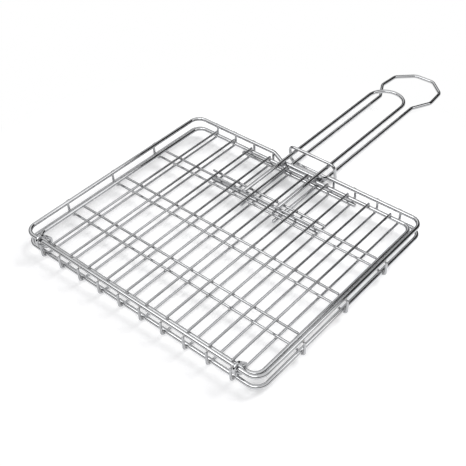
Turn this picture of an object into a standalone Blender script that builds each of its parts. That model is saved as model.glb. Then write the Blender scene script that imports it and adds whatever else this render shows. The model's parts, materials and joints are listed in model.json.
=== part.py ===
"""A hinged wire grilling basket with two long handles and a sliding lock ring.

Lengths here are in millimetres and become metres when an object is made. The
working frame has X along the hinge, Y from the hinge towards the handles and
z = 0 at the lid frame's centre line. Every piece is one bent wire, drawn as an
eight-sided tube whose flat sides lie at the wire's real radius.
"""

import math

import bmesh
import bpy
from mathutils import Vector

MM = 0.001

# Wires
FRAME_WIRE = 5.0  # rims, lid frame, handles and the heavy short bars
GRID_WIRE = 3.0  # long wires and cross wires
LOOSE_WIRE = 4.0  # hinge links and lock ring
GAP = 0.3  # left between two wires that touch
SIDES = 8
TURN_STEP = 23.0  # degrees, the most that a bend turns between two sections
STRAIGHT = 1.0  # degrees, a corner that turns less gets no bend
STEEP = 0.9  # upward share of a direction beyond which a section is turned by Y

# Basket
BASKET_WIDTH = 348.0  # between the centre lines of the side bars
BASKET_LENGTH = 296.0  # between the centre lines of the front and back bars
BASKET_CORNER = 14.0
RIM_RISE = 9.0  # upper rim's centre line above the lid frame's
RIM_DROP = 6.5  # lower rim's centre line below the lid frame's
LONG_WIRES = 10
CROSS_WIRES = 3
BASKET_CROSS_PITCH = 73.75
BASKET_CROSS_MIDDLE = -7.0  # Y of the middle cross wire
CROSS_DIP_PLAY = 0.8  # between a side bar's inner edge and the foot of the dip
CROSS_DIP_RUN = 4.2  # length over which a cross wire goes down
WIRE_BEND = 3.5
STEP_BEND = 8.0
TIP_DROP = 1.2  # wire tips below the centre line of the bar they end at
DIP_ROOM = 8.0  # the dip's bottom is this much wider than the handle
DIP_FLARE = 25.0  # and its top this much wider than its bottom
DIP_BEND = 5.0
BASKET_BAR_SPAN = 5  # spaces between long wires that the two heavy bars cross
ROOT_BAR_OVERHANG = 3.9  # past the outermost long wire it crosses
ROOT_BAR_SETBACK = 7.0  # behind the last cross wire
BACK_BAR_OVERHANG = 8.9
BACK_BAR_SETBACK = 8.0  # in front of the lower rim's back bar

# Lid
LID_SIDE_PLAY = 4.0  # between the lid frame and the upper rim
LID_BACK_PLAY = 1.8
LID_CORNER = 12.0
LID_CROSS_PITCH = 71.0
LID_OVERHANG = 1.5  # long wires past the frame's centre lines
LID_BAR_SPAN = 5
LID_ROOT_OVERHANG = 11.0
LID_ROOT_SETBACK = 8.4

# Handles
HANDLE_WIDTH = 51.0  # between the legs' centre lines
LID_HANDLE_REACH = 221.8  # from the lid's back bar to the middle of the U's end
LID_HANDLE_ROOT = 3.6  # legs start this far before the last lid cross wire
BASKET_HANDLE_REACH = 297.0  # from the rim's back bar to the loop's end
BASKET_HANDLE_ROOT = 6.5
LOOP_SHOULDER = 27.0  # length over which the loop widens
LOOP_SIDE = 29.5  # length of the loop's straight sides
LOOP_NOSE = 20.5  # length of the tapered end
LOOP_WIDTH = 79.4  # at the shoulder
LOOP_WAIST = 74.0  # where the nose starts
LOOP_END = 28.0  # along the end bar
SHOULDER_BEND = 7.0
LOOP_BEND = 12.0

# Lock ring and hinge links
RING_SEAT = 24.3  # behind the rim's back bar when shut
RING_PLAY = 0.5
RING_SIDE_PLAY = 5.0
RING_LEAN = 2.1  # top bar nearer to the basket, bottom bar farther, than the middle
RING_BEND = 8.0
LINK_INNER_PLAY = 0.8  # between a link's long sides and the bars in it
LINK_RIM_PLAY = 0.64  # between a link and the lower rim
LINK_PLAY = 0.5
LINK_SIDE_PLAY = 1.2  # between a link and the outermost long wire

# Heights of the layers, from the lid frame's centre line
FRAME_TO_FRAME = FRAME_WIRE + GAP
FRAME_TO_GRID = (FRAME_WIRE + GRID_WIRE) / 2 + GAP
GRID_TO_GRID = GRID_WIRE + GAP
FRAME_TO_LOOSE = (FRAME_WIRE + LOOSE_WIRE) / 2
LID_LONG_Z = FRAME_TO_GRID
LID_CROSS_Z = LID_LONG_Z - GRID_TO_GRID
LID_HANDLE_Z = FRAME_TO_FRAME
DIP_Z = LID_HANDLE_Z - FRAME_TO_FRAME
BASKET_LONG_Z = -RIM_DROP - FRAME_TO_GRID
BASKET_CROSS_Z = BASKET_LONG_Z + GRID_TO_GRID
BASKET_HANDLE_Z = -RIM_DROP - FRAME_TO_FRAME
RING_TOP_Z = LID_HANDLE_Z + FRAME_TO_LOOSE + RING_PLAY
RING_BOTTOM_Z = BASKET_HANDLE_Z - FRAME_TO_LOOSE - RING_PLAY

# Hinge: the lid's front bar is set back just far enough for the links' sides to
# clear the lower rim's front bar
LINK_WIDTH = FRAME_WIRE + LOOSE_WIRE + 2 * LINK_INNER_PLAY
LINK_RIM_DISTANCE = LINK_WIDTH / 2 + FRAME_TO_LOOSE + LINK_RIM_PLAY
LINK_TILT = math.asin(LINK_RIM_DISTANCE / (RIM_RISE + RIM_DROP))
HINGE_SETBACK = RIM_RISE * math.tan(LINK_TILT)

# Places across and along
RIM_X = BASKET_WIDTH / 2
RIM_Y = BASKET_LENGTH / 2
TIP_X = RIM_X + FRAME_TO_GRID
TIP_Y = RIM_Y + FRAME_TO_GRID
LID_X = RIM_X - FRAME_WIRE - LID_SIDE_PLAY
LID_FRONT = -RIM_Y + HINGE_SETBACK
LID_BACK = RIM_Y - FRAME_WIRE - LID_BACK_PLAY
LID_MIDDLE = (LID_FRONT + LID_BACK) / 2
LID_PITCH = 2 * LID_X / (LONG_WIRES + 1)
BASKET_PITCH = BASKET_WIDTH / (LONG_WIRES + 1)
LID_LAST_CROSS = LID_MIDDLE + LID_CROSS_PITCH * (CROSS_WIRES - 1) / 2
BASKET_LAST_CROSS = BASKET_CROSS_MIDDLE + BASKET_CROSS_PITCH * (CROSS_WIRES - 1) / 2
LEG_X = HANDLE_WIDTH / 2
DIP_BOTTOM_X = (HANDLE_WIDTH + DIP_ROOM) / 2
DIP_TOP_X = DIP_BOTTOM_X + DIP_FLARE / 2
LOOP_END_Y = RIM_Y + BASKET_HANDLE_REACH
RING_Y = RIM_Y + RING_SEAT
RING_X = LEG_X + FRAME_TO_LOOSE + RING_SIDE_PLAY
OUTER_LONG_X = BASKET_PITCH * (LONG_WIRES - 1) / 2
LINK_X = OUTER_LONG_X + (GRID_WIRE + LOOSE_WIRE) / 2 + LINK_SIDE_PLAY

# The links' ovals, seen along the hinge
BAR_DISTANCE = math.hypot(HINGE_SETBACK, RIM_RISE)
LINK_HALF_LENGTH = BAR_DISTANCE / 2 + FRAME_TO_LOOSE + LINK_PLAY
LINK_ROUND_CENTRE = (LINK_HALF_LENGTH - LINK_WIDTH / 2) * HINGE_SETBACK / BAR_DISTANCE
LINK_FRONT = (LID_FRONT - RIM_Y) / 2 - LINK_ROUND_CENTRE - (LINK_WIDTH + LOOSE_WIRE) / 2
WIRES_FRONT = -TIP_Y - GRID_WIRE / 2

# The part's origin: middle of its box, on the lowest point of the lock ring
ORIGIN = Vector((
    0.0,
    (LOOP_END_Y + FRAME_WIRE / 2 + min(LINK_FRONT, WIRES_FRONT)) / 2,
    RING_BOTTOM_Z - LOOSE_WIRE / 2,
))

# A point on each body's joint axis; the basket is the fixed body
PIVOTS = {
    "basket": Vector((0.0, 0.0, 0.0)),
    "hinge_link_left": Vector((-LINK_X, -RIM_Y, RIM_RISE)),
    "hinge_link_right": Vector((LINK_X, -RIM_Y, RIM_RISE)),
    "lid": Vector((0.0, LID_FRONT, 0.0)),
    "lock_ring": Vector((0.0, RING_Y, (RING_TOP_Z + RING_BOTTOM_Z) / 2)),
}

STEEL = (0.78, 0.79, 0.80, 1.0)
STEEL_ROUGHNESS = 0.16
WELDED_STEEL = (0.70, 0.71, 0.73, 1.0)
WELDED_ROUGHNESS = 0.24


def clear_scene():
    """Empty the file of objects."""
    for obj in list(bpy.data.objects):
        bpy.data.objects.remove(obj, do_unlink=True)


def add_axes():
    """One empty for each body, on its joint's axis."""
    axes = {}
    for body, pivot in PIVOTS.items():
        empty = bpy.data.objects.new(body + "_axis", None)
        empty.location = (pivot - ORIGIN) * MM
        bpy.context.scene.collection.objects.link(empty)
        axes[body] = empty
    return axes


def steel(name, colour, roughness):
    """Bright steel for one piece."""
    material = bpy.data.materials.new(name + "_steel")
    material.use_nodes = True
    shader = material.node_tree.nodes["Principled BSDF"]
    shader.inputs["Base Color"].default_value = colour
    shader.inputs["Metallic"].default_value = 1.0
    shader.inputs["Roughness"].default_value = roughness
    return material


def bent(corners, bends, closed):
    """The path through the corners, each turned in even steps round its bend radius."""
    path = []
    count = len(corners)
    for i, corner in enumerate(corners):
        if not closed and i in (0, count - 1):
            path.append(corner)
            continue
        before = (corner - corners[i - 1]).normalized()
        after = (corners[(i + 1) % count] - corner).normalized()
        turn = before.angle(after)
        if turn < math.radians(STRAIGHT):
            path.append(corner)
            continue
        steps = math.ceil(math.degrees(turn) / TURN_STEP)
        step = turn / steps
        inward = (after - before).normalized()
        centre = corner + inward * bends[i] / math.cos(turn / 2)
        outward = -inward
        along = (before + after).normalized()
        reach = bends[i] / math.cos(step / 2)
        for k in range(steps):
            angle = (k + 0.5) * step - turn / 2
            path.append(centre + (outward * math.cos(angle) + along * math.sin(angle)) * reach)
    return path


def section(point, direction, radius):
    """Eight points round the path, with a flat side facing down."""
    up = Vector((0, 0, 1)) if abs(direction.z) < STEEP else Vector((0, 1, 0))
    side = direction.cross(up).normalized()
    up = side.cross(direction)
    reach = radius / math.cos(math.pi / SIDES)
    angles = [(k + 0.5) * 2 * math.pi / SIDES for k in range(SIDES)]
    return [point + (side * math.cos(a) + up * math.sin(a)) * reach for a in angles]


def slid(ring, direction, point, normal):
    """The section pushed along its wire onto the plane of the next corner."""
    return [p + direction * ((point - p).dot(normal) / direction.dot(normal)) for p in ring]


def sections(path, radius, closed):
    """A section at every point of the path, mitred at the corners."""
    count = len(path)
    ways = [(path[(i + 1) % count] - path[i]).normalized() for i in range(count)]
    first = ways[-1] if closed else ways[0]
    ring = section(path[0], first, radius)
    rings = []
    for i, point in enumerate(path):
        if closed or 0 < i < count - 1:
            into = ways[i - 1]
            normal = (into + ways[i]).normalized()
        else:
            into = ways[0] if i == 0 else ways[i - 1]
            normal = into
        ring = slid(ring, into, point, normal)
        rings.append(ring)
    return rings


def wire(name, body, at, corners, thickness, bends=0.0, closed=False):
    """One bent wire of a body: its corners are given from the place `at`."""
    if not isinstance(bends, (list, tuple)):
        bends = [bends] * len(corners)
    path = bent([Vector(c) for c in corners], bends, closed)
    mesh = bpy.data.meshes.new(name)
    bm = bmesh.new()
    rings = [[bm.verts.new(p * MM) for p in ring] for ring in sections(path, thickness / 2, closed)]
    pairs = list(zip(rings, rings[1:]))
    if closed:
        pairs.append((rings[-1], rings[0]))
    for near, far in pairs:
        for k in range(SIDES):
            nxt = (k + 1) % SIDES
            bm.faces.new((near[k], near[nxt], far[nxt], far[k]))
    if not closed:
        bm.faces.new(rings[0])
        bm.faces.new(rings[-1])
    bmesh.ops.recalc_face_normals(bm, faces=bm.faces)
    bm.to_mesh(mesh)
    bm.free()
    obj = bpy.data.objects.new(name, mesh)
    obj.parent = AXES[body]
    obj.location = (Vector(at) - PIVOTS[body]) * MM
    look = (STEEL, STEEL_ROUGHNESS) if thickness > GRID_WIRE else (WELDED_STEEL, WELDED_ROUGHNESS)
    obj.data.materials.append(steel(name, *look))
    bpy.context.scene.collection.objects.link(obj)
    return obj


def rectangle(half_x, half_y):
    """Corners of a flat loop, starting in the middle of its front bar."""
    return [(0, -half_y, 0), (half_x, -half_y, 0), (half_x, half_y, 0),
            (-half_x, half_y, 0), (-half_x, -half_y, 0)]


def even(count, pitch):
    """Places of evenly spaced copies, with their middle at 0."""
    return [(i - (count - 1) / 2) * pitch for i in range(count)]


def basket_rims():
    """The two rims; the upper one dips at the back to let the lid's handle out."""
    wire("basket_lower_rim", "basket", (0, 0, -RIM_DROP), rectangle(RIM_X, RIM_Y),
         FRAME_WIRE, BASKET_CORNER, closed=True)
    dip = DIP_Z - RIM_RISE
    right = [(RIM_X, -RIM_Y, 0), (RIM_X, RIM_Y, 0), (DIP_TOP_X, RIM_Y, 0), (DIP_BOTTOM_X, RIM_Y, dip)]
    left = [(-x, y, z) for x, y, z in reversed(right)]
    corner_bends = [BASKET_CORNER, BASKET_CORNER, DIP_BEND, DIP_BEND]
    wire("basket_upper_rim", "basket", (0, 0, RIM_RISE), [(0, -RIM_Y, 0)] + right + left,
         FRAME_WIRE, [0.0] + corner_bends + corner_bends[::-1], closed=True)


def basket_long_wires():
    """Floor wires that run under the lower rim and turn up outside both rims."""
    tip = RIM_RISE - TIP_DROP - BASKET_LONG_Z
    low_tip = DIP_Z - TIP_DROP - BASKET_LONG_Z
    for i, x in enumerate(even(LONG_WIRES, BASKET_PITCH), start=1):
        back_tip = low_tip if abs(x) < DIP_BOTTOM_X else tip
        corners = [(0, -TIP_Y, tip), (0, -TIP_Y, 0), (0, TIP_Y, 0), (0, TIP_Y, back_tip)]
        wire(f"basket_long_wire_{i:02d}", "basket", (x, 0, BASKET_LONG_Z), corners, GRID_WIRE, WIRE_BEND)


def basket_cross_wires():
    """Wires across the floor, on the long wires, that dip under the side bars."""
    tip = RIM_RISE - TIP_DROP - BASKET_CROSS_Z
    low = BASKET_LONG_Z - BASKET_CROSS_Z
    foot = RIM_X - FRAME_WIRE / 2 - CROSS_DIP_PLAY
    right = [(foot - CROSS_DIP_RUN, 0, 0), (foot, 0, low), (TIP_X, 0, low), (TIP_X, 0, tip)]
    left = [(-x, y, z) for x, y, z in reversed(right)]
    bends = [0.0, WIRE_BEND, STEP_BEND, STEP_BEND]
    for i, y in enumerate(even(CROSS_WIRES, BASKET_CROSS_PITCH), start=1):
        wire(f"basket_cross_wire_{i}", "basket", (0, y + BASKET_CROSS_MIDDLE, BASKET_CROSS_Z),
             left + right, GRID_WIRE, bends + bends[::-1])


def straight_bar(name, body, width, y, z, thickness):
    """A straight bar across the part."""
    wire(name, body, (0, y, z), [(-width / 2, 0, 0), (width / 2, 0, 0)], thickness)


def basket_handle():
    """Two legs under the basket that open into a hanging loop."""
    shoulder = LOOP_END_Y - LOOP_NOSE - LOOP_SIDE - LOOP_SHOULDER
    right = [
        (LEG_X, BASKET_LAST_CROSS - BASKET_HANDLE_ROOT, 0),
        (LEG_X, shoulder, 0),
        (LOOP_WIDTH / 2, shoulder + LOOP_SHOULDER, 0),
        (LOOP_WAIST / 2, LOOP_END_Y - LOOP_NOSE, 0),
        (LOOP_END / 2, LOOP_END_Y, 0),
    ]
    left = [(-x, y, z) for x, y, z in reversed(right)]
    bends = [0.0, SHOULDER_BEND] + [LOOP_BEND] * (len(right) - 2)
    wire("basket_handle", "basket", (0, 0, BASKET_HANDLE_Z), right + left, FRAME_WIRE, bends + bends[::-1])


def lid_grid():
    """The lid's frame, its long wires on top, and its cross wires under those."""
    half_length = (LID_BACK - LID_FRONT) / 2
    wire("lid_frame", "lid", (0, LID_MIDDLE, 0), rectangle(LID_X, half_length),
         FRAME_WIRE, LID_CORNER, closed=True)
    end = half_length + LID_OVERHANG
    for i, x in enumerate(even(LONG_WIRES, LID_PITCH), start=1):
        wire(f"lid_long_wire_{i:02d}", "lid", (x, LID_MIDDLE, LID_LONG_Z),
             [(0, -end, 0), (0, end, 0)], GRID_WIRE)
    for i, y in enumerate(even(CROSS_WIRES, LID_CROSS_PITCH), start=1):
        straight_bar(f"lid_cross_wire_{i}", "lid", 2 * LID_X - FRAME_WIRE - 2 * GAP,
                     LID_MIDDLE + y, LID_CROSS_Z, GRID_WIRE)
    straight_bar("lid_root_bar", "lid", LID_BAR_SPAN * LID_PITCH + 2 * LID_ROOT_OVERHANG,
                 LID_LAST_CROSS + LID_ROOT_SETBACK, LID_CROSS_Z, GRID_WIRE)


def lid_handle():
    """A long U that lies on the lid's back bar and on its last cross wire."""
    root = LID_LAST_CROSS - LID_HANDLE_ROOT
    end = LID_BACK + LID_HANDLE_REACH
    corners = [(LEG_X, root, 0), (LEG_X, end, 0), (-LEG_X, end, 0), (-LEG_X, root, 0)]
    wire("lid_handle", "lid", (0, 0, LID_HANDLE_Z), corners, FRAME_WIRE, LEG_X)


def hinge_link(body, x):
    """A loose oval link round the front bars of the upper rim and the lid."""
    rim_bar = Vector((x, -RIM_Y, RIM_RISE))
    lid_bar = Vector((x, LID_FRONT, 0.0))
    along = (lid_bar - rim_bar).normalized()
    across = along.cross(Vector((1, 0, 0)))
    half_width = LINK_WIDTH / 2
    turns = [(0, 1), (1, 1), (1, -1), (-1, -1), (-1, 1)]
    corners = [along * LINK_HALF_LENGTH * a + across * half_width * b for a, b in turns]
    wire(body, body, (rim_bar + lid_bar) / 2, corners, LOOSE_WIRE, half_width, closed=True)


def lock_ring():
    """A loose rectangular ring round both handles, leaning towards the basket."""
    middle = PIVOTS["lock_ring"]
    top = (0, -RING_LEAN, RING_TOP_Z - middle.z)
    bottom = (0, RING_LEAN, RING_BOTTOM_Z - middle.z)
    corners = [bottom]
    for x, (_, y, z) in ((RING_X, bottom), (RING_X, top), (-RING_X, top), (-RING_X, bottom)):
        corners.append((x, y, z))
    wire("lock_ring", "lock_ring", middle, corners, LOOSE_WIRE, RING_BEND, closed=True)


clear_scene()
AXES = add_axes()
basket_rims()
basket_long_wires()
basket_cross_wires()
straight_bar("basket_root_bar", "basket", BASKET_BAR_SPAN * BASKET_PITCH + 2 * ROOT_BAR_OVERHANG,
             BASKET_LAST_CROSS + ROOT_BAR_SETBACK, -RIM_DROP, FRAME_WIRE)
straight_bar("basket_back_bar", "basket", BASKET_BAR_SPAN * BASKET_PITCH + 2 * BACK_BAR_OVERHANG,
             RIM_Y - BACK_BAR_SETBACK, -RIM_DROP, FRAME_WIRE)
basket_handle()
lid_grid()
lid_handle()
hinge_link("hinge_link_left", -LINK_X)
hinge_link("hinge_link_right", LINK_X)
lock_ring()
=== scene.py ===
"""Bright wire surfaces, floor, light and camera for a hinged grilling basket.

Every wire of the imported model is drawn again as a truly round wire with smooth
bends and trimmed ends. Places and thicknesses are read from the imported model's
own pieces. Only what their boxes don't give is stated here: the bend radii, the
dips and the outline of the hanging loop.
"""

import json
import math

import bpy
import numpy as np
from mathutils import Matrix, Vector

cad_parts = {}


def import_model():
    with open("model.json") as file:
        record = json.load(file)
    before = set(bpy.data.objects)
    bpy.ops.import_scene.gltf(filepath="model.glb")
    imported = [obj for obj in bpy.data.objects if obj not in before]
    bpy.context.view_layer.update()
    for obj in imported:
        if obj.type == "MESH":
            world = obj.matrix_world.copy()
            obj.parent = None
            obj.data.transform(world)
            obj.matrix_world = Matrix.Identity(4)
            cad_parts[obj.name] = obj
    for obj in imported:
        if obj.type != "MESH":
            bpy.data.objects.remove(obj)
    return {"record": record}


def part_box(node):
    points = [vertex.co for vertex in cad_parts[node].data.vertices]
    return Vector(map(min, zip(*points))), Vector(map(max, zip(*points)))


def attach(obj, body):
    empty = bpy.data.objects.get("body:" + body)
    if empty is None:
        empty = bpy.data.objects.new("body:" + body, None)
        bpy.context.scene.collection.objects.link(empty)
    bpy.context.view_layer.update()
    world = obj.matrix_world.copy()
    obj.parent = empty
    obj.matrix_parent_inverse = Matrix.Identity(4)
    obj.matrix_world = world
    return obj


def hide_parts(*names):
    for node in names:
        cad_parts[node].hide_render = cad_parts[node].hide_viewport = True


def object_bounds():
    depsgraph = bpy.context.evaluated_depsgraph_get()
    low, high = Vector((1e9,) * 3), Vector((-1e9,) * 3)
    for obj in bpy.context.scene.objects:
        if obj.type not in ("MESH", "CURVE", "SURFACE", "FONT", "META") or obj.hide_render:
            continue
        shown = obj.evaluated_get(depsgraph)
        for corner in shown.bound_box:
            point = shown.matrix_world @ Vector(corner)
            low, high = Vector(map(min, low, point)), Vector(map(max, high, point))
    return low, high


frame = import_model()
CAD_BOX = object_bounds()

# Bend radii of the wires' centre lines, in metres
BASKET_CORNER = 0.014
DIP_BEND = 0.006
WIRE_BEND = 0.0036
STEP_BEND = 0.006
LID_CORNER = 0.012
SHOULDER_BEND = 0.007
LOOP_BEND = 0.012
RING_BEND = 0.008
LINK_ROUND = 0.999  # of a link's half width, so that its two end arcs don't quite meet

# Shape of the bent wires that their boxes don't give
DIP_BOTTOM = 0.0295  # half width of the upper rim's dip
DIP_TOP = 0.042
STEP_START = 0.0075  # cross wires go down this far inside the side bars
STEP_END = 0.0033
LOOP_NOSE = 0.0205
LOOP_SIDE = 0.0295
LOOP_SHOULDER = 0.027
LOOP_WAIST = 0.037
LOOP_END = 0.014

ARC_STEP = math.radians(6)
LEAST_TURN = math.radians(1)  # a corner that turns less gets no arc
LEAST_ARC_POINTS = 3
SAME_POINT = 1e-7  # metres, points closer than this are one
WIRE_SIDES = 20
END_ROUND = 0.35  # of a wire's radius, rounded off at a cut end
END_POINTS = 5
SHARP_EDGE = math.radians(50)

LONG_WIRES = 10
CROSS_WIRES = 3
LONG_NUMBERS = [f"{i:02d}" for i in range(1, LONG_WIRES + 1)]
CROSS_NUMBERS = [str(i) for i in range(1, CROSS_WIRES + 1)]


# ---------------------------------------------------------------- measuring

def low(node):
    """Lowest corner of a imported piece."""
    return np.array(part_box(node)[0])


def high(node):
    """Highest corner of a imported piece."""
    return np.array(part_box(node)[1])


def middle(node):
    """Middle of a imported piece's box."""
    return (low(node) + high(node)) / 2


def thinnest(node):
    """Radius of a straight or flat piece's wire: half its box's least side."""
    return float((high(node) - low(node)).min()) / 2


FRAME_RADIUS = thinnest("basket_lower_rim")
GRID_RADIUS = thinnest("lid_long_wire_01")
LOOSE_RADIUS = thinnest("hinge_link_left")


# ---------------------------------------------------------------- wire shapes

def bent(corners, bends, closed=False):
    """Centre line through the corners. At each corner an arc of the bend radius
    runs from tangent to tangent: its centre lies on the inward bisector, at
    bend / cos(half the turn) from the corner."""
    corners = [np.array(c, float) for c in corners]
    count = len(corners)
    if not isinstance(bends, (list, tuple)):
        bends = [bends] * count
    runs = []
    for i, corner in enumerate(corners):
        before = corner - corners[i - 1]
        after = corners[(i + 1) % count] - corner
        at_end = not closed and i in (0, count - 1)
        if not at_end:
            before = before / np.linalg.norm(before)
            after = after / np.linalg.norm(after)
            turn = math.acos(float(np.clip(before @ after, -1, 1)))
        if at_end or turn < LEAST_TURN:
            runs.append(corner[None, :])
            continue
        inward = (after - before) / np.linalg.norm(after - before)
        along = (before + after) / np.linalg.norm(before + after)
        centre = corner + inward * bends[i] / math.cos(turn / 2)
        points = max(LEAST_ARC_POINTS, math.ceil(turn / ARC_STEP) + 1)
        angles = np.linspace(-turn / 2, turn / 2, points)[:, None]
        runs.append(centre + bends[i] * (along * np.sin(angles) - inward * np.cos(angles)))
    path = np.concatenate(runs)
    step = np.linalg.norm(path - np.roll(path, 1, axis=0), axis=1)
    keep = step > SAME_POINT
    keep[0] = True
    return path[keep]


def tangents(path, closed):
    """Unit directions: at each point the sum of the two unit runs that meet there."""
    runs = np.roll(path, -1, axis=0) - path
    runs /= np.linalg.norm(runs, axis=1, keepdims=True)
    if closed:
        ways = runs + np.roll(runs, 1, axis=0)
    else:
        ways = np.concatenate([runs[:1], runs[1:-1] + runs[:-2], runs[-2:-1]])
    return ways / np.linalg.norm(ways, axis=1, keepdims=True)


def trimmed(path, radius):
    """The path with its ends drawn in, and for each point the wire's radius there.
    At a cut end the radius follows a quarter circle of END_ROUND of the wire."""
    edge = radius * END_ROUND
    phi = np.linspace(0, math.pi / 2, END_POINTS)
    start = path[0] - path[1]
    start = start / np.linalg.norm(start)
    end = path[-1] - path[-2]
    end = end / np.linalg.norm(end)
    reach = (edge * (np.sin(phi) - 1))[:, None]
    inner = radius - edge * (1 - np.cos(phi))
    head = (path[0] + start * reach)[::-1]
    tail = path[-1] + end * reach
    points = np.concatenate([head, path[1:-1], tail])
    radii = np.concatenate([inner[::-1], np.full(len(path) - 2, radius), inner])
    return points, radii


def tube(path, radius, across, closed):
    """A circle carried along the path. The circle's first axis is `across` made
    square to the path, its second axis is the path's direction crossed with it.
    Returns the points, the faces and each point's distance along the path."""
    if closed:
        points, radii = path, np.full(len(path), radius)
    else:
        points, radii = trimmed(path, radius)
    ways = tangents(points, closed)
    across = np.broadcast_to(np.array(across, float), ways.shape)
    first = across - ways * (across * ways).sum(1, keepdims=True)
    first /= np.linalg.norm(first, axis=1, keepdims=True)
    second = np.cross(ways, first)
    turn = np.linspace(0, 2 * math.pi, WIRE_SIDES, endpoint=False)
    cosine, sine = np.cos(turn)[None, :, None], np.sin(turn)[None, :, None]
    circle = cosine * first[:, None] + sine * second[:, None]
    skin = (points[:, None] + radii[:, None, None] * circle).reshape(-1, 3)
    rings = len(points)
    row = np.arange(rings if closed else rings - 1)[:, None]
    col = np.arange(WIRE_SIDES)[None, :]
    nxt_row, nxt_col = (row + 1) % rings, (col + 1) % WIRE_SIDES
    quads = np.stack([row * WIRE_SIDES + col, row * WIRE_SIDES + nxt_col,
                      nxt_row * WIRE_SIDES + nxt_col, nxt_row * WIRE_SIDES + col], axis=-1)
    faces = quads.reshape(-1, 4).tolist()
    steps = np.linalg.norm(np.diff(points, axis=0), axis=1)
    length = np.concatenate([[0], np.cumsum(steps)])
    if not closed:
        last = (rings - 1) * WIRE_SIDES
        faces += [list(range(WIRE_SIDES))[::-1], list(range(last, last + WIRE_SIDES))]
    return skin, faces, np.repeat(length, WIRE_SIDES)


def piece(name, skin, faces, body, material, lengths=None):
    """A smooth mesh object at the origin that rides on a body. Its map's first
    coordinate is the distance along the wire."""
    mesh = bpy.data.meshes.new(name)
    mesh.from_pydata(skin.tolist(), [], faces)
    if lengths is not None:
        layer = mesh.uv_layers.new(name="along")
        corner = np.empty(len(mesh.loops), np.int32)
        mesh.loops.foreach_get("vertex_index", corner)
        uv = np.stack([lengths[corner], (corner % WIRE_SIDES) / WIRE_SIDES], axis=1)
        layer.data.foreach_set("uv", uv.astype(np.float32).ravel())
    mesh.shade_smooth()
    mesh.set_sharp_from_angle(angle=SHARP_EDGE)
    mesh.materials.append(material)
    obj = bpy.data.objects.new(name, mesh)
    bpy.context.scene.collection.objects.link(obj)
    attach(obj, body)
    return obj


def wire(node, body, corners, radius, across, material, bends=0.0, closed=False):
    """The round wire that stands for one packed wire."""
    path = bent(corners, bends, closed)
    skin, faces, lengths = tube(path, radius, across, closed)
    obj = piece(node + "_round", skin, faces, body, material, lengths)
    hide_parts(node)
    return obj


# ---------------------------------------------------------------- materials

# Patterns in the steel. A scale is in repeats per metre, a range is of a noise's value.
CLOUD_SCALE = 55.0
CLOUD_DETAIL = 5.0
SPECK_SCALE = 900.0
SPECK_DETAIL = 2.0
LINE_STRETCH = (30.0, 40.0, 1.0)  # repeats in a metre of wire and once round it
LINE_DETAIL = 3.0
LINE_DEPTH = 0.00012
TINT_RANGE = (0.30, 0.62)
TINT_DARK = 0.86  # darkest tint, of the full colour
GLOSS_RANGE = (0.3, 0.7)
MOTTLE_SCALE = 700.0
MOTTLE_DETAIL = 4.0
MOTTLE_RANGE = (0.35, 0.65)
WELD_DARK = (0.38, 0.37, 0.36)
WELD_LIGHT = (0.62, 0.62, 0.63)
WELD_ROUGHNESS = (0.25, 0.50)
WELD_BUMP = 0.5
WELD_DEPTH = 0.0002


def new_metal(name):
    """A metal material with its nodes, links and shader."""
    material = bpy.data.materials.new(name)
    material.use_nodes = True
    nodes, links = material.node_tree.nodes, material.node_tree.links
    shader = nodes["Principled BSDF"]
    shader.inputs["Metallic"].default_value = 1.0
    return material, nodes, links, shader


def noise(nodes, links, vector, scale, detail):
    """A noise pattern's value at a vector."""
    texture = nodes.new("ShaderNodeTexNoise")
    texture.inputs["Scale"].default_value = scale
    texture.inputs["Detail"].default_value = detail
    links.new(vector, texture.inputs["Vector"])
    return texture.outputs["Fac"]


def calculated(nodes, links, operation, *values):
    """What a math node makes of sockets and plain numbers."""
    node = nodes.new("ShaderNodeMath")
    node.operation = operation
    for socket, value in zip(node.inputs, values):
        if isinstance(value, float):
            socket.default_value = value
        else:
            links.new(value, socket)
    return node.outputs[0]


def tinted(nodes, links, shader, value, span, dark, light):
    """Base colour from dark to light, as the value passes through the span."""
    tint = nodes.new("ShaderNodeValToRGB")
    for element, position, colour in zip(tint.color_ramp.elements, span, (dark, light)):
        element.position = position
        element.color = (*colour, 1.0)
    links.new(value, tint.inputs["Fac"])
    links.new(tint.outputs["Color"], shader.inputs["Base Color"])


def roughened(nodes, links, shader, value, span, roughness):
    """Roughness from its least to its most, as the value passes through the span."""
    ramp = nodes.new("ShaderNodeMapRange")
    ramp.inputs["From Min"].default_value, ramp.inputs["From Max"].default_value = span
    ramp.inputs["To Min"].default_value, ramp.inputs["To Max"].default_value = roughness
    links.new(value, ramp.inputs["Value"])
    links.new(ramp.outputs["Result"], shader.inputs["Roughness"])


def bumped(nodes, links, shader, height, strength, depth):
    """Fine relief from a pattern."""
    bump = nodes.new("ShaderNodeBump")
    bump.inputs["Strength"].default_value = strength
    bump.inputs["Distance"].default_value = depth
    links.new(height, bump.inputs["Height"])
    links.new(bump.outputs["Normal"], shader.inputs["Normal"])


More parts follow.
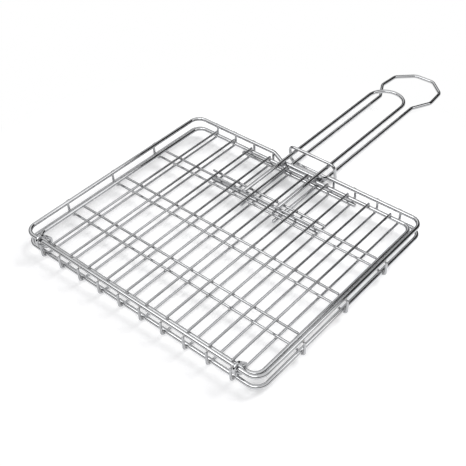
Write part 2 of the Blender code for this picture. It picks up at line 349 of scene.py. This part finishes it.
def plated(name, colour, roughness, spread, drawn):
    """Bright plated steel. Fine lines left by drawing run along the wire, a cloudy
    film varies the gloss, and small dull specks break it up."""
    material, nodes, links, shader = new_metal(name)
    place = nodes.new("ShaderNodeTexCoord")
    cloud = noise(nodes, links, place.outputs["Object"], CLOUD_SCALE, CLOUD_DETAIL)
    specks = noise(nodes, links, place.outputs["Object"], SPECK_SCALE, SPECK_DETAIL)
    stretch = nodes.new("ShaderNodeMapping")
    stretch.inputs["Scale"].default_value = LINE_STRETCH
    links.new(place.outputs["UV"], stretch.inputs["Vector"])
    lines = noise(nodes, links, stretch.outputs["Vector"], 1.0, LINE_DETAIL)

    tinted(nodes, links, shader, cloud, TINT_RANGE, [c * TINT_DARK for c in colour], colour)
    half_cloud = calculated(nodes, links, "MULTIPLY", cloud, 0.5)
    average = calculated(nodes, links, "MULTIPLY_ADD", specks, 0.5, half_cloud)
    roughened(nodes, links, shader, average, GLOSS_RANGE, (roughness, roughness + spread))
    bumped(nodes, links, shader, lines, drawn, LINE_DEPTH)
    return material


def weld_metal():
    """Spot welds: the same steel, mottled and a little duller and darker."""
    material, nodes, links, shader = new_metal("spot_weld")
    place = nodes.new("ShaderNodeTexCoord")
    mottle = noise(nodes, links, place.outputs["Object"], MOTTLE_SCALE, MOTTLE_DETAIL)
    tinted(nodes, links, shader, mottle, MOTTLE_RANGE, WELD_DARK, WELD_LIGHT)
    roughened(nodes, links, shader, mottle, (0.0, 1.0), WELD_ROUGHNESS)
    bumped(nodes, links, shader, mottle, WELD_BUMP, WELD_DEPTH)
    return material


FRAME_COLOUR = (0.55, 0.555, 0.565)
GRID_COLOUR = (0.48, 0.485, 0.495)
FRAME_STEEL = plated("frame_plating", FRAME_COLOUR, roughness=0.03, spread=0.06, drawn=0.08)
GRID_STEEL = plated("grid_plating", GRID_COLOUR, roughness=0.10, spread=0.10, drawn=0.12)
LOOSE_STEEL = plated("loose_wire_plating", FRAME_COLOUR, roughness=0.03, spread=0.06, drawn=0.08)
WELD_STEEL = weld_metal()


# ---------------------------------------------------------------- basket

UP = (0, 0, 1)
ALONG = (0, 1, 0)
ACROSS = (1, 0, 0)


def mirrored(right):
    """The same corners on the left, in the order that carries on from the right."""
    return [(-x, y, z) for x, y, z in reversed(right)]


def loop_corners(node):
    """Corners of a flat frame's centre line, from the middle of its front bar."""
    lo, hi = low(node) + FRAME_RADIUS, high(node) - FRAME_RADIUS
    z = (lo[2] + hi[2]) / 2
    right = [(hi[0], lo[1], z), (hi[0], hi[1], z)]
    return [(0, lo[1], z)] + right + mirrored(right)


def lower_rim():
    """The basket's bottom frame."""
    wire("basket_lower_rim", "basket", loop_corners("basket_lower_rim"), FRAME_RADIUS, UP,
         FRAME_STEEL, BASKET_CORNER, closed=True)


def upper_rim():
    """The basket's top frame, with the dip at the back that lets the lid's handle out."""
    lo, hi = low("basket_upper_rim") + FRAME_RADIUS, high("basket_upper_rim") - FRAME_RADIUS
    right = [(hi[0], lo[1], hi[2]), (hi[0], hi[1], hi[2]),
             (DIP_TOP, hi[1], hi[2]), (DIP_BOTTOM, hi[1], lo[2])]
    bends = [BASKET_CORNER, BASKET_CORNER, DIP_BEND, DIP_BEND]
    corners = [(0, lo[1], hi[2])] + right + mirrored(right)
    wire("basket_upper_rim", "basket", corners, FRAME_RADIUS, UP,
         FRAME_STEEL, [0.0] + bends + bends[::-1], closed=True)


def basket_long_wires():
    """Floor wires, turned up at the front and the back outside both rims."""
    dip_height = low("basket_upper_rim")[2] + FRAME_RADIUS
    for number in LONG_NUMBERS:
        node = "basket_long_wire_" + number
        lo, hi = low(node), high(node)
        x, z = (lo[0] + hi[0]) / 2, lo[2] + GRID_RADIUS
        front, back = lo[1] + GRID_RADIUS, hi[1] - GRID_RADIUS
        tip_rise = hi[2] - (high("basket_upper_rim")[2] - FRAME_RADIUS)
        back_tip = dip_height + tip_rise if abs(x) < DIP_BOTTOM else hi[2]
        corners = [(x, front, hi[2]), (x, front, z), (x, back, z), (x, back, back_tip)]
        wire(node, "basket", corners, GRID_RADIUS, ACROSS, GRID_STEEL, WIRE_BEND)


def basket_cross_wires():
    """Wires across the floor, over the long wires and then down under the side bars."""
    rim_x = high("basket_lower_rim")[0] - FRAME_RADIUS
    long_top = low("basket_long_wire_01")[2] + 2 * GRID_RADIUS
    gap = low("lid_long_wire_01")[2] - high("lid_cross_wire_1")[2]
    over = long_top + gap + GRID_RADIUS
    for number in CROSS_NUMBERS:
        node = "basket_cross_wire_" + number
        lo, hi = low(node), high(node)
        y, tip_x, under = (lo[1] + hi[1]) / 2, hi[0] - GRID_RADIUS, lo[2] + GRID_RADIUS
        right = [(rim_x - STEP_START, y, over), (rim_x - STEP_END, y, under),
                 (tip_x, y, under), (tip_x, y, hi[2])]
        bends = [0.0, WIRE_BEND, STEP_BEND, STEP_BEND]
        wire(node, "basket", mirrored(right) + right, GRID_RADIUS, ALONG,
             GRID_STEEL, bends + bends[::-1])


def straight(node, body, axis, radius, material):
    """A straight wire along an axis, from one end of its box to the other."""
    start, end = middle(node), middle(node)
    start[axis], end[axis] = low(node)[axis], high(node)[axis]
    wire(node, body, [start, end], radius, UP, material)


def basket_handle():
    """Two legs under the floor that open into the hanging loop."""
    lo, hi = low("basket_handle") + FRAME_RADIUS, high("basket_handle") - FRAME_RADIUS
    z, end = (lo[2] + hi[2]) / 2, hi[1]
    leg = high("lid_handle")[0] - FRAME_RADIUS
    shoulder = end - LOOP_NOSE - LOOP_SIDE
    right = [(leg, low("basket_handle")[1], z), (leg, shoulder - LOOP_SHOULDER, z),
             (hi[0], shoulder, z), (LOOP_WAIST, end - LOOP_NOSE, z), (LOOP_END, end, z)]
    bends = [0.0, SHOULDER_BEND] + [LOOP_BEND] * (len(right) - 2)
    wire("basket_handle", "basket", right + mirrored(right), FRAME_RADIUS, UP,
         FRAME_STEEL, bends + bends[::-1])


# ---------------------------------------------------------------- lid and loose wires

def lid_grid():
    """The lid's frame with its long wires on top and its cross wires under those."""
    wire("lid_frame", "lid", loop_corners("lid_frame"), FRAME_RADIUS, UP,
         FRAME_STEEL, LID_CORNER, closed=True)
    for number in LONG_NUMBERS:
        straight("lid_long_wire_" + number, "lid", 1, GRID_RADIUS, GRID_STEEL)
    for number in CROSS_NUMBERS:
        straight("lid_cross_wire_" + number, "lid", 0, GRID_RADIUS, GRID_STEEL)
    straight("lid_root_bar", "lid", 0, GRID_RADIUS, GRID_STEEL)


def lid_handle():
    """The long U that lies on the lid."""
    lo, hi = low("lid_handle"), high("lid_handle") - FRAME_RADIUS
    z, leg = middle("lid_handle")[2], hi[0]
    right = [(leg, lo[1], z), (leg, hi[1], z)]
    wire("lid_handle", "lid", right + mirrored(right), FRAME_RADIUS, UP,
         FRAME_STEEL, leg)


def joint_place(name):
    """A hinge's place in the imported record."""
    joint = next(j for j in frame["record"]["behaviour"]["joints"] if j["name"] == name)
    return np.array(joint["pos_m"])


def hinge_links():
    """Two oval links, each round the basket's front bar and the lid's front bar."""
    along = joint_place("lid_open") - joint_place("link_swing")
    along[0] = 0.0
    along /= np.linalg.norm(along)
    flat, reach = np.cross(along, ACROSS), abs(along)
    for node in ("hinge_link_left", "hinge_link_right"):
        centre = middle(node)
        span = high(node) - low(node) - 2 * LOOSE_RADIUS
        # Along each axis the oval's box measures its width plus what its straight run covers there
        width = (span[1] * reach[2] - span[2] * reach[1]) / (reach[2] - reach[1])
        straight_run = (span[1] - width) / reach[1]
        half_long, half_wide = (straight_run + width) / 2, width / 2
        turns = [(0, 1), (1, 1), (1, -1), (-1, -1), (-1, 1)]
        corners = [centre + along * half_long * a + flat * half_wide * b for a, b in turns]
        wire(node, node, corners, LOOSE_RADIUS, ACROSS, LOOSE_STEEL,
             half_wide * LINK_ROUND, closed=True)


def lock_ring():
    """The rectangular ring round both handles; it leans towards the basket."""
    lo, hi = low("lock_ring") + LOOSE_RADIUS, high("lock_ring") - LOOSE_RADIUS
    bottom, top = (hi[1], lo[2]), (lo[1], hi[2])
    corners = [(0, *bottom), (hi[0], *bottom), (hi[0], *top), (lo[0], *top), (lo[0], *bottom)]
    lean = np.array([0, top[0] - bottom[0], top[1] - bottom[1]])
    plane = np.cross(lean / np.linalg.norm(lean), ACROSS)
    wire("lock_ring", "lock_ring", corners, LOOSE_RADIUS, plane, LOOSE_STEEL,
         RING_BEND, closed=True)


# ---------------------------------------------------------------- spot welds

BEAD_STEPS = 6  # from pole to pole
BEAD_SIDES = 10
NUGGET = (1.25, 1.25, 0.55)  # half sizes of a weld, in grid wire radii


def beads(name, places, sizes, body):
    """Small rounded nuggets: one globe of latitude rings, stretched to each weld's
    half sizes and moved to its place, all in one array."""
    lat = np.linspace(0, math.pi, BEAD_STEPS + 1)[1:-1]
    lon = np.linspace(0, 2 * math.pi, BEAD_SIDES, endpoint=False)
    ring = np.stack([np.outer(np.sin(lat), np.cos(lon)), np.outer(np.sin(lat), np.sin(lon)),
                     np.outer(np.cos(lat), np.ones_like(lon))], axis=-1).reshape(-1, 3)
    globe = np.concatenate([ring, [[0, 0, 1], [0, 0, -1]]])
    rows, cols = len(lat), len(lon)
    faces = []
    for r in range(rows - 1):
        for c in range(cols):
            nxt = (c + 1) % cols
            faces.append((r * cols + c, (r + 1) * cols + c, (r + 1) * cols + nxt, r * cols + nxt))
    north, south = rows * cols, rows * cols + 1
    for c in range(cols):
        nxt = (c + 1) % cols
        faces.append((north, c, nxt))
        faces.append((south, (rows - 1) * cols + nxt, (rows - 1) * cols + c))
    skin = (np.array(places)[:, None] + np.array(sizes)[:, None] * globe[None]).reshape(-1, 3)
    every = [tuple(v + k * len(globe) for v in face) for k in range(len(places)) for face in faces]
    return piece(name, skin, every, body, WELD_STEEL)


def lid_welds():
    """Welds of the lid's long wires on its cross wires and frame, and of its handle."""
    places = []
    front, back = low("lid_frame")[1] + FRAME_RADIUS, high("lid_frame")[1] - FRAME_RADIUS
    for number in LONG_NUMBERS:
        node = "lid_long_wire_" + number
        x, z = middle(node)[0], low(node)[2]
        rows = [middle("lid_cross_wire_" + n)[1] for n in CROSS_NUMBERS] + [front, back]
        if abs(x) < high("lid_root_bar")[0]:
            rows.append(middle("lid_root_bar")[1])
        places += [(x, y, z) for y in rows]
    leg, z = high("lid_handle")[0] - FRAME_RADIUS, low("lid_handle")[2]
    for y in (middle("lid_cross_wire_3")[1], middle("lid_root_bar")[1], back):
        places += [(-leg, y, z), (leg, y, z)]
    sizes = [np.array(NUGGET) * GRID_RADIUS] * len(places)
    beads("lid_spot_welds", places, sizes, "lid")


def basket_welds():
    """Welds of the basket's floor wires to each other, to both rims and to the handle."""
    floor_places, rim_places = [], []
    rim_lo = low("basket_lower_rim") + FRAME_RADIUS
    rim_hi = high("basket_lower_rim") - FRAME_RADIUS
    top = high("basket_upper_rim")[2] - FRAME_RADIUS
    dip = low("basket_upper_rim")[2] + FRAME_RADIUS
    bottom = middle("basket_lower_rim")[2]
    for number in LONG_NUMBERS:
        node = "basket_long_wire_" + number
        x, z = middle(node)[0], low(node)[2] + 2 * GRID_RADIUS
        rows = [middle("basket_cross_wire_" + n)[1] for n in CROSS_NUMBERS] + [rim_lo[1], rim_hi[1]]
        for bar in ("basket_root_bar", "basket_back_bar"):
            if abs(x) < high(bar)[0]:
                rows.append(middle(bar)[1])
        floor_places += [(x, y, z) for y in rows]
        back_top = dip if abs(x) < DIP_BOTTOM else top
        for y, upper in ((rim_lo[1] - FRAME_RADIUS, top), (rim_hi[1] + FRAME_RADIUS, back_top)):
            rim_places += [((x, y, upper), 1), ((x, y, bottom), 1)]
    for number in CROSS_NUMBERS:
        y = middle("basket_cross_wire_" + number)[1]
        for x in (rim_lo[0] - FRAME_RADIUS, rim_hi[0] + FRAME_RADIUS):
            rim_places += [((x, y, top), 0), ((x, y, bottom), 0)]
    leg, z = high("lid_handle")[0] - FRAME_RADIUS, high("basket_handle")[2]
    for bar in ("basket_cross_wire_3", "basket_root_bar", "basket_back_bar"):
        floor_places += [(-leg, middle(bar)[1], z), (leg, middle(bar)[1], z)]
    floor_places += [(-leg, rim_hi[1], z), (leg, rim_hi[1], z)]
    sizes = [np.array(NUGGET) * GRID_RADIUS] * len(floor_places)
    for _, axis in rim_places:
        wide, thin = NUGGET[0], NUGGET[2]
        size = [wide, wide, wide]
        size[axis] = thin
        sizes.append(np.array(size) * GRID_RADIUS)
    beads("basket_spot_welds", floor_places + [p for p, _ in rim_places], sizes, "basket")


# ---------------------------------------------------------------- stage

FLOOR_HALF = 4.0
WHITE = (1.0, 1.0, 1.0, 1.0)
BLACK = (0.0, 0.0, 0.0, 1.0)
WORLD_LIGHT = (0.40, 0.40, 0.41, 1.0)
FLOOR_COLOUR = (0.86, 0.86, 0.86, 1.0)
FLOOR_ROUGHNESS = 0.9
FLOOR_GLOW = 0.26
FADE_START = 0.29  # from the basket's middle, where the floor starts to turn plain white
FADE_END = 0.40


def shown_rays(nodes, links):
    """1 for camera, glossy and transmission rays, else 0."""
    path = nodes.new("ShaderNodeLightPath")
    total = path.outputs["Is Camera Ray"]
    for name in ("Is Glossy Ray", "Is Transmission Ray"):
        total = calculated(nodes, links, "MAXIMUM", total, path.outputs[name])
    return total


def floor():
    """A pale floor that keeps the basket's shadow. Away from the basket it turns
    plain white by distance, like the background."""
    lowest = CAD_BOX[0].z
    corners = [(x * FLOOR_HALF, y * FLOOR_HALF, lowest)
               for x, y in ((-1, -1), (1, -1), (1, 1), (-1, 1))]
    mesh = bpy.data.meshes.new("floor")
    mesh.from_pydata(corners, [], [(0, 1, 2, 3)])
    obj = bpy.data.objects.new("floor", mesh)
    bpy.context.scene.collection.objects.link(obj)
    material = bpy.data.materials.new("pale_floor")
    material.use_nodes = True
    nodes, links = material.node_tree.nodes, material.node_tree.links
    shader = nodes["Principled BSDF"]
    shader.inputs["Base Color"].default_value = FLOOR_COLOUR
    shader.inputs["Roughness"].default_value = FLOOR_ROUGHNESS
    shader.inputs["Specular IOR Level"].default_value = 0.0
    glow = nodes.new("ShaderNodeEmission")
    glow.inputs["Color"].default_value = WHITE
    strength = calculated(nodes, links, "MULTIPLY", shown_rays(nodes, links), FLOOR_GLOW)
    links.new(strength, glow.inputs["Strength"])
    both = nodes.new("ShaderNodeAddShader")
    links.new(shader.outputs[0], both.inputs[0])
    links.new(glow.outputs[0], both.inputs[1])
    place = nodes.new("ShaderNodeTexCoord")
    distance = nodes.new("ShaderNodeVectorMath")
    distance.operation = "DISTANCE"
    distance.inputs[1].default_value = (0.0, middle("basket_lower_rim")[1], lowest)
    links.new(place.outputs["Object"], distance.inputs[0])
    fade = nodes.new("ShaderNodeMapRange")
    fade.interpolation_type = "SMOOTHSTEP"
    fade.inputs["From Min"].default_value = FADE_START
    fade.inputs["From Max"].default_value = FADE_END
    links.new(distance.outputs["Value"], fade.inputs["Value"])
    white = nodes.new("ShaderNodeEmission")
    white.inputs["Color"].default_value = WHITE
    links.new(shown_rays(nodes, links), white.inputs["Strength"])
    mix = nodes.new("ShaderNodeMixShader")
    links.new(fade.outputs["Result"], mix.inputs["Fac"])
    links.new(both.outputs[0], mix.inputs[1])
    links.new(white.outputs[0], mix.inputs[2])
    links.new(mix.outputs[0], nodes["Material Output"].inputs["Surface"])
    mesh.materials.append(material)


def world():
    """White for what the eye, the steel and glass see, and plain grey light for the rest."""
    studio = bpy.data.worlds.new("studio")
    bpy.context.scene.world = studio
    studio.use_nodes = True
    nodes, links = studio.node_tree.nodes, studio.node_tree.links
    mix = nodes.new("ShaderNodeMix")
    mix.data_type = "RGBA"
    links.new(shown_rays(nodes, links), mix.inputs["Factor"])
    mix.inputs["A"].default_value = WORLD_LIGHT
    mix.inputs["B"].default_value = WHITE
    colour = next(s for s in mix.outputs if s.type == "RGBA")
    links.new(colour, nodes["Background"].inputs["Color"])


def lamp(name, place, size, power, in_steel):
    """A square soft box that faces the basket; the steel may mirror it or not."""
    data = bpy.data.lights.new(name, "AREA")
    data.shape = "SQUARE"
    data.size = size
    data.energy = power
    obj = bpy.data.objects.new(name, data)
    obj.location = place
    obj.rotation_euler = (-Vector(place)).to_track_quat("-Z", "Y").to_euler()
    obj.visible_glossy = in_steel
    bpy.context.scene.collection.objects.link(obj)


def seen_by_steel(name, mesh, grey):
    """A plain grey thing on the stage that only mirrors show."""
    material = bpy.data.materials.new(name + "_cloth")
    material.use_nodes = True
    shader = material.node_tree.nodes["Principled BSDF"]
    shader.inputs["Base Color"].default_value = BLACK
    shader.inputs["Specular IOR Level"].default_value = 0.0
    shader.inputs["Emission Color"].default_value = WHITE
    shader.inputs["Emission Strength"].default_value = grey
    mesh.materials.append(material)
    obj = bpy.data.objects.new(name, mesh)
    bpy.context.scene.collection.objects.link(obj)
    obj.visible_camera = False
    obj.visible_diffuse = False
    obj.visible_shadow = False


CARD_AWAY = (0.50, 0.60, 0.62)  # direction of the cards from the basket
CARD_DISTANCE = 1.6
CARD_EDGE = -0.23  # where the bright card ends and the dark one starts, along the handles
BRIGHT_START = -0.52
DARK_END = 1.5
BRIGHT_HALF_WIDTH = 0.75
DARK_HALF_WIDTH = 1.45
BRIGHT_GREY = 1.9
DARK_GREY = 0.05


def card(name, near, far, half_width, grey):
    """A flat card that faces the basket, from `near` to `far` along the handles' way."""
    away = Vector(CARD_AWAY).normalized()
    handle_way = Vector(ALONG)
    along = (handle_way - away * handle_way.dot(away)).normalized()
    side = away.cross(along)
    centre = away * CARD_DISTANCE
    corners = [centre + along * a + side * b * half_width
               for a, b in ((near, -1), (far, -1), (far, 1), (near, 1))]
    mesh = bpy.data.meshes.new(name)
    mesh.from_pydata([tuple(c) for c in corners], [], [(0, 1, 2, 3)])
    seen_by_steel(name, mesh, grey)


def cards():
    """A dark card behind the handles gives the wires that run its way their dark
    core; a bright one before it lights the core of those near the front."""
    card("dark_card", CARD_EDGE, DARK_END, DARK_HALF_WIDTH, DARK_GREY)
    card("bright_card", BRIGHT_START, CARD_EDGE, BRIGHT_HALF_WIDTH, BRIGHT_GREY)


BAND_RADIUS = 2.6
BAND_BOTTOM = 0.02
BAND_TOP = 1.25
BAND_GREY = 0.02
BAND_SIDES = 48


def dark_band():
    """A dark band all round at the horizon that only the steel sees. It draws the
    thin dark lines along the wires' edges."""
    turn = np.linspace(0, 2 * math.pi, BAND_SIDES, endpoint=False)
    foot = CAD_BOX[0].z + BAND_BOTTOM
    ring = np.stack([BAND_RADIUS * np.cos(turn), BAND_RADIUS * np.sin(turn),
                     np.full(BAND_SIDES, foot)], axis=1)
    skin = np.concatenate([ring, ring + np.array([0, 0, BAND_TOP])])
    faces = [(k, (k + 1) % BAND_SIDES, (k + 1) % BAND_SIDES + BAND_SIDES, k + BAND_SIDES)
             for k in range(BAND_SIDES)]
    mesh = bpy.data.meshes.new("dark_band")
    mesh.from_pydata(skin.tolist(), [], faces)
    seen_by_steel("dark_band", mesh, BAND_GREY)


CAMERA_AZIMUTH = math.radians(-47.82)
CAMERA_ELEVATION = math.radians(41.63)
CAMERA_ROLL = math.radians(-2.38)
CAMERA_DISTANCE = 0.985
CAMERA_LENS = 65.92
CAMERA_SENSOR = 36.0
CAMERA_NEAR = 0.01
AIM_ASIDE = (0.0099, 0.0057)  # aimed point from the basket's middle


def camera():
    """The camera, turned about its own axis by a small roll."""
    middle_of_basket = middle("basket_lower_rim")
    target = Vector((middle_of_basket[0] + AIM_ASIDE[0], middle_of_basket[1] + AIM_ASIDE[1],
                     middle("lid_frame")[2]))
    away = Vector((math.cos(CAMERA_ELEVATION) * math.cos(CAMERA_AZIMUTH),
                   math.cos(CAMERA_ELEVATION) * math.sin(CAMERA_AZIMUTH),
                   math.sin(CAMERA_ELEVATION)))
    right = (-away).cross(Vector((0, 0, 1))).normalized()
    up = right.cross(-away)
    turned_right = right * math.cos(CAMERA_ROLL) + up * math.sin(CAMERA_ROLL)
    turned_up = up * math.cos(CAMERA_ROLL) - right * math.sin(CAMERA_ROLL)
    data = bpy.data.cameras.new("camera")
    data.lens = CAMERA_LENS
    data.sensor_width = CAMERA_SENSOR
    data.clip_start = CAMERA_NEAR
    obj = bpy.data.objects.new("camera", data)
    place = target + away * CAMERA_DISTANCE
    turn = Matrix((turned_right, turned_up, away)).transposed().to_4x4()
    obj.matrix_world = Matrix.Translation(place) @ turn
    bpy.context.scene.collection.objects.link(obj)
    bpy.context.scene.camera = obj


lower_rim()
upper_rim()
basket_long_wires()
basket_cross_wires()
straight("basket_root_bar", "basket", 0, FRAME_RADIUS, FRAME_STEEL)
straight("basket_back_bar", "basket", 0, FRAME_RADIUS, FRAME_STEEL)
basket_handle()
lid_grid()
lid_handle()
hinge_links()
lock_ring()
lid_welds()
basket_welds()

floor()
world()
camera()
cards()
dark_band()
lamp("key", place=(0.9, 1.3, 1.6), size=1.0, power=34.0, in_steel=False)
lamp("fill", place=(-0.75, -1.0, 1.6), size=0.9, power=6.0, in_steel=True)
lamp("top", place=(0.35, -1.2, 1.55), size=1.0, power=7.0, in_steel=True)
bpy.context.scene.view_settings.view_transform = "Standard"
